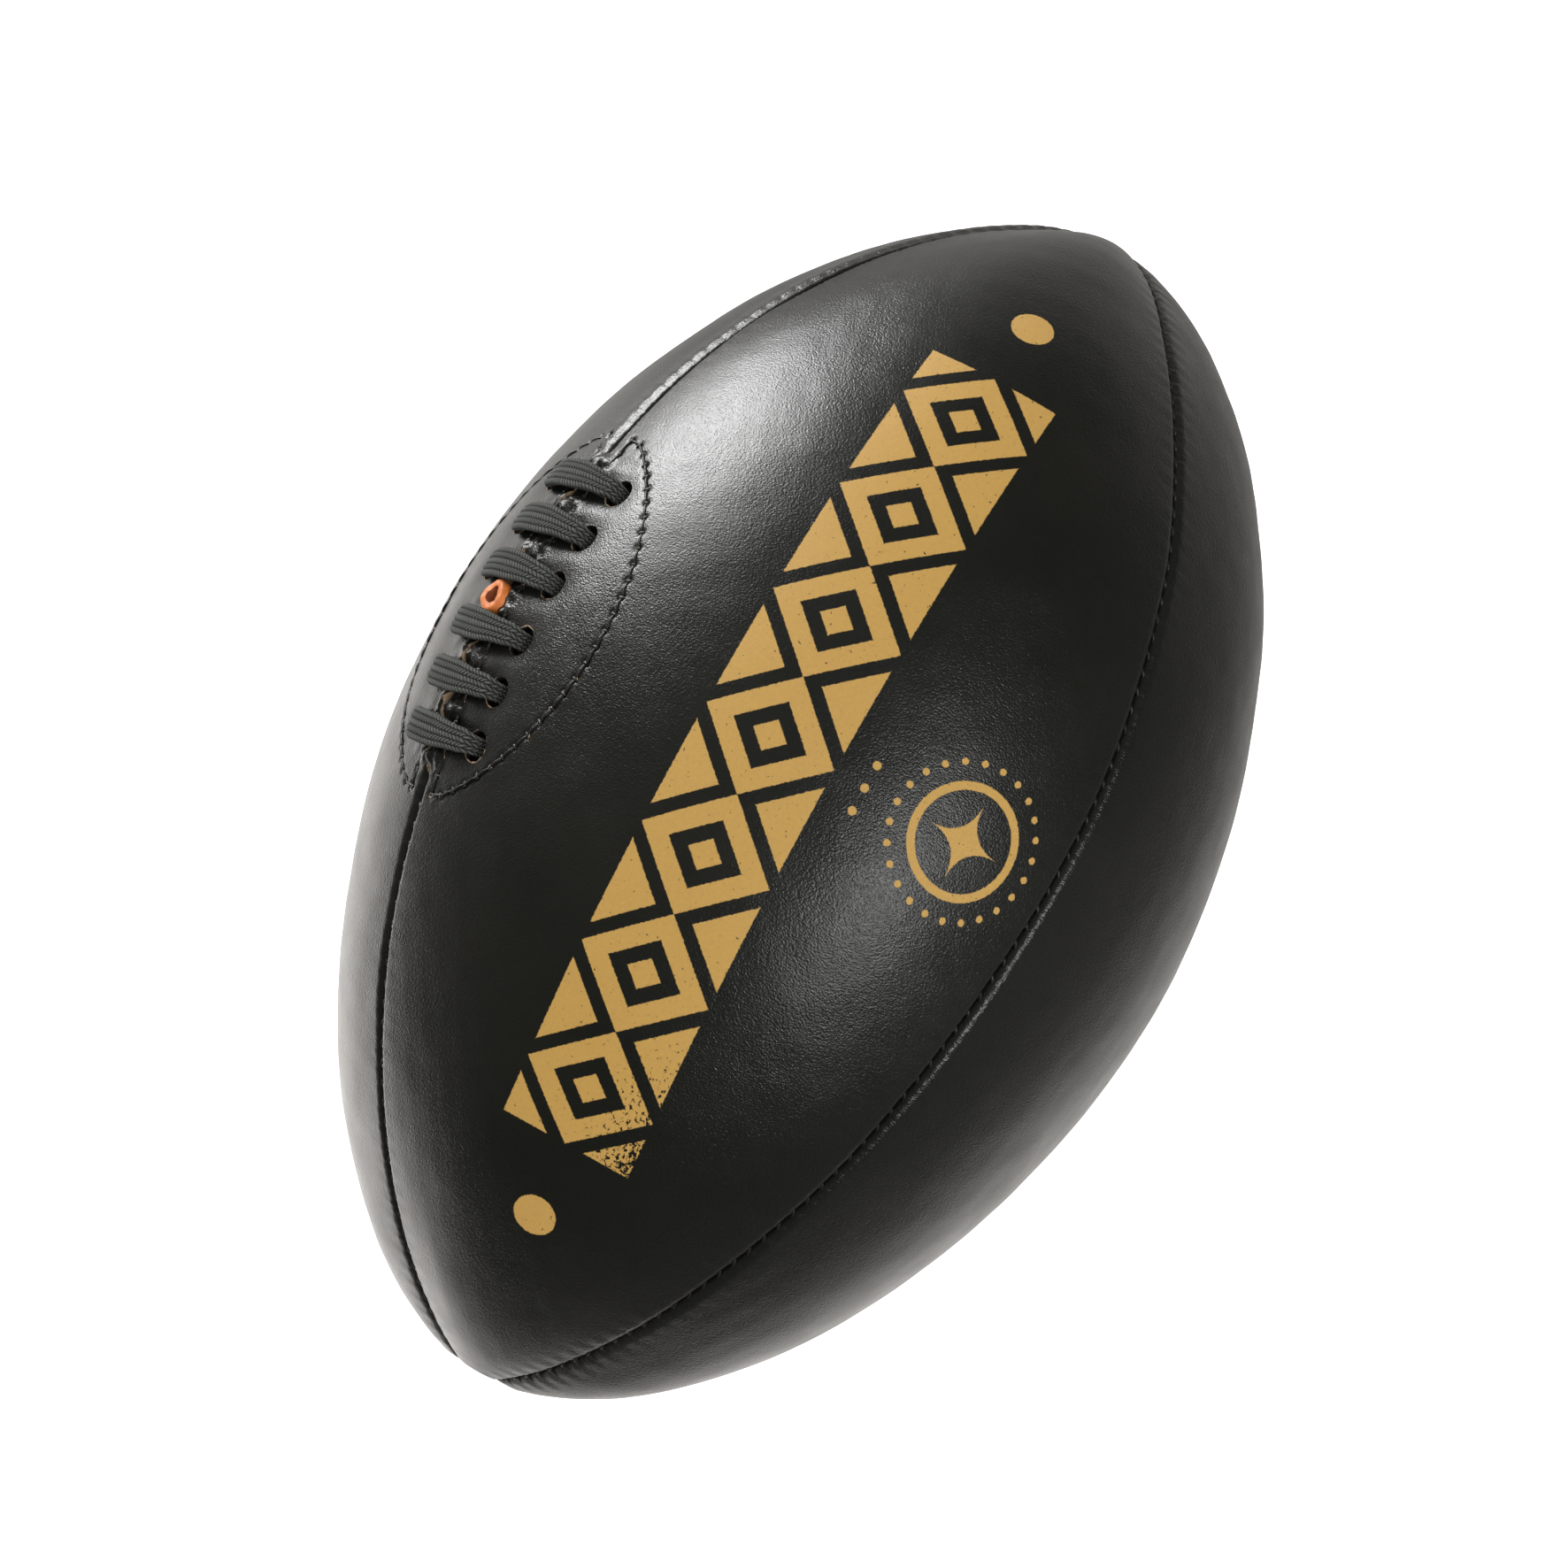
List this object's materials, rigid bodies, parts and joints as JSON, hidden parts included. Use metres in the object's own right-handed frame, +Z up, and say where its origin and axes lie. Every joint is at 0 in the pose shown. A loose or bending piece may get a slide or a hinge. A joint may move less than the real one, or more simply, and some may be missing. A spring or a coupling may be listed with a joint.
{
  "type": "rugby ball",
  "caption": "Pointed oval ball of stitched black leather panels round a bladder, with a laced opening over its valve tube.",
  "frame": {"origin": "the centre of the ball, halfway along its long axis", "axes": "+X along the long axis; +Z up, out of the middle of the printed panel; the ball lies on its belly, and its laced seam faces halfway between -Y and +Z"},
  "size_m": [0.2934, 0.1852, 0.1852],
  "materials": {
    "leather": "black hide with a fine pebble grain, satin gloss, printed in worn gold on the top panel",
    "canvas": "plain woven cotton, matt",
    "facing_leather": "split leather, black face with raw tan edges",
    "thread": "waxed twisted thread, black",
    "lace": "flat braided cotton, charcoal, matt",
    "bladder_rubber": "smooth dark rubber, matt",
    "valve_rubber": "orange rubber, matt, cut end"
  },
  "bodies": {
    "root": {"panel_top": "leather", "panel_right": "leather", "panel_bottom": "leather", "panel_left": "leather", "lining_top": "canvas", "lining_right": "canvas", "lining_bottom": "canvas", "lining_left": "canvas", "lace_facing_top": "facing_leather", "lace_facing_left": "facing_leather", "tongue": "facing_leather", "facing_thread_top": "thread", "facing_thread_left": "thread", "seam_thread_right": "thread", "seam_thread_lower_right": "thread", "seam_thread_lower_left": "thread", "seam_thread_laced_front": "thread", "seam_thread_laced_back": "thread", "lace": "lace", "bladder": "bladder_rubber", "valve_patch": "valve_rubber", "valve_tube": "valve_rubber"}
  },
  "joints": []
}
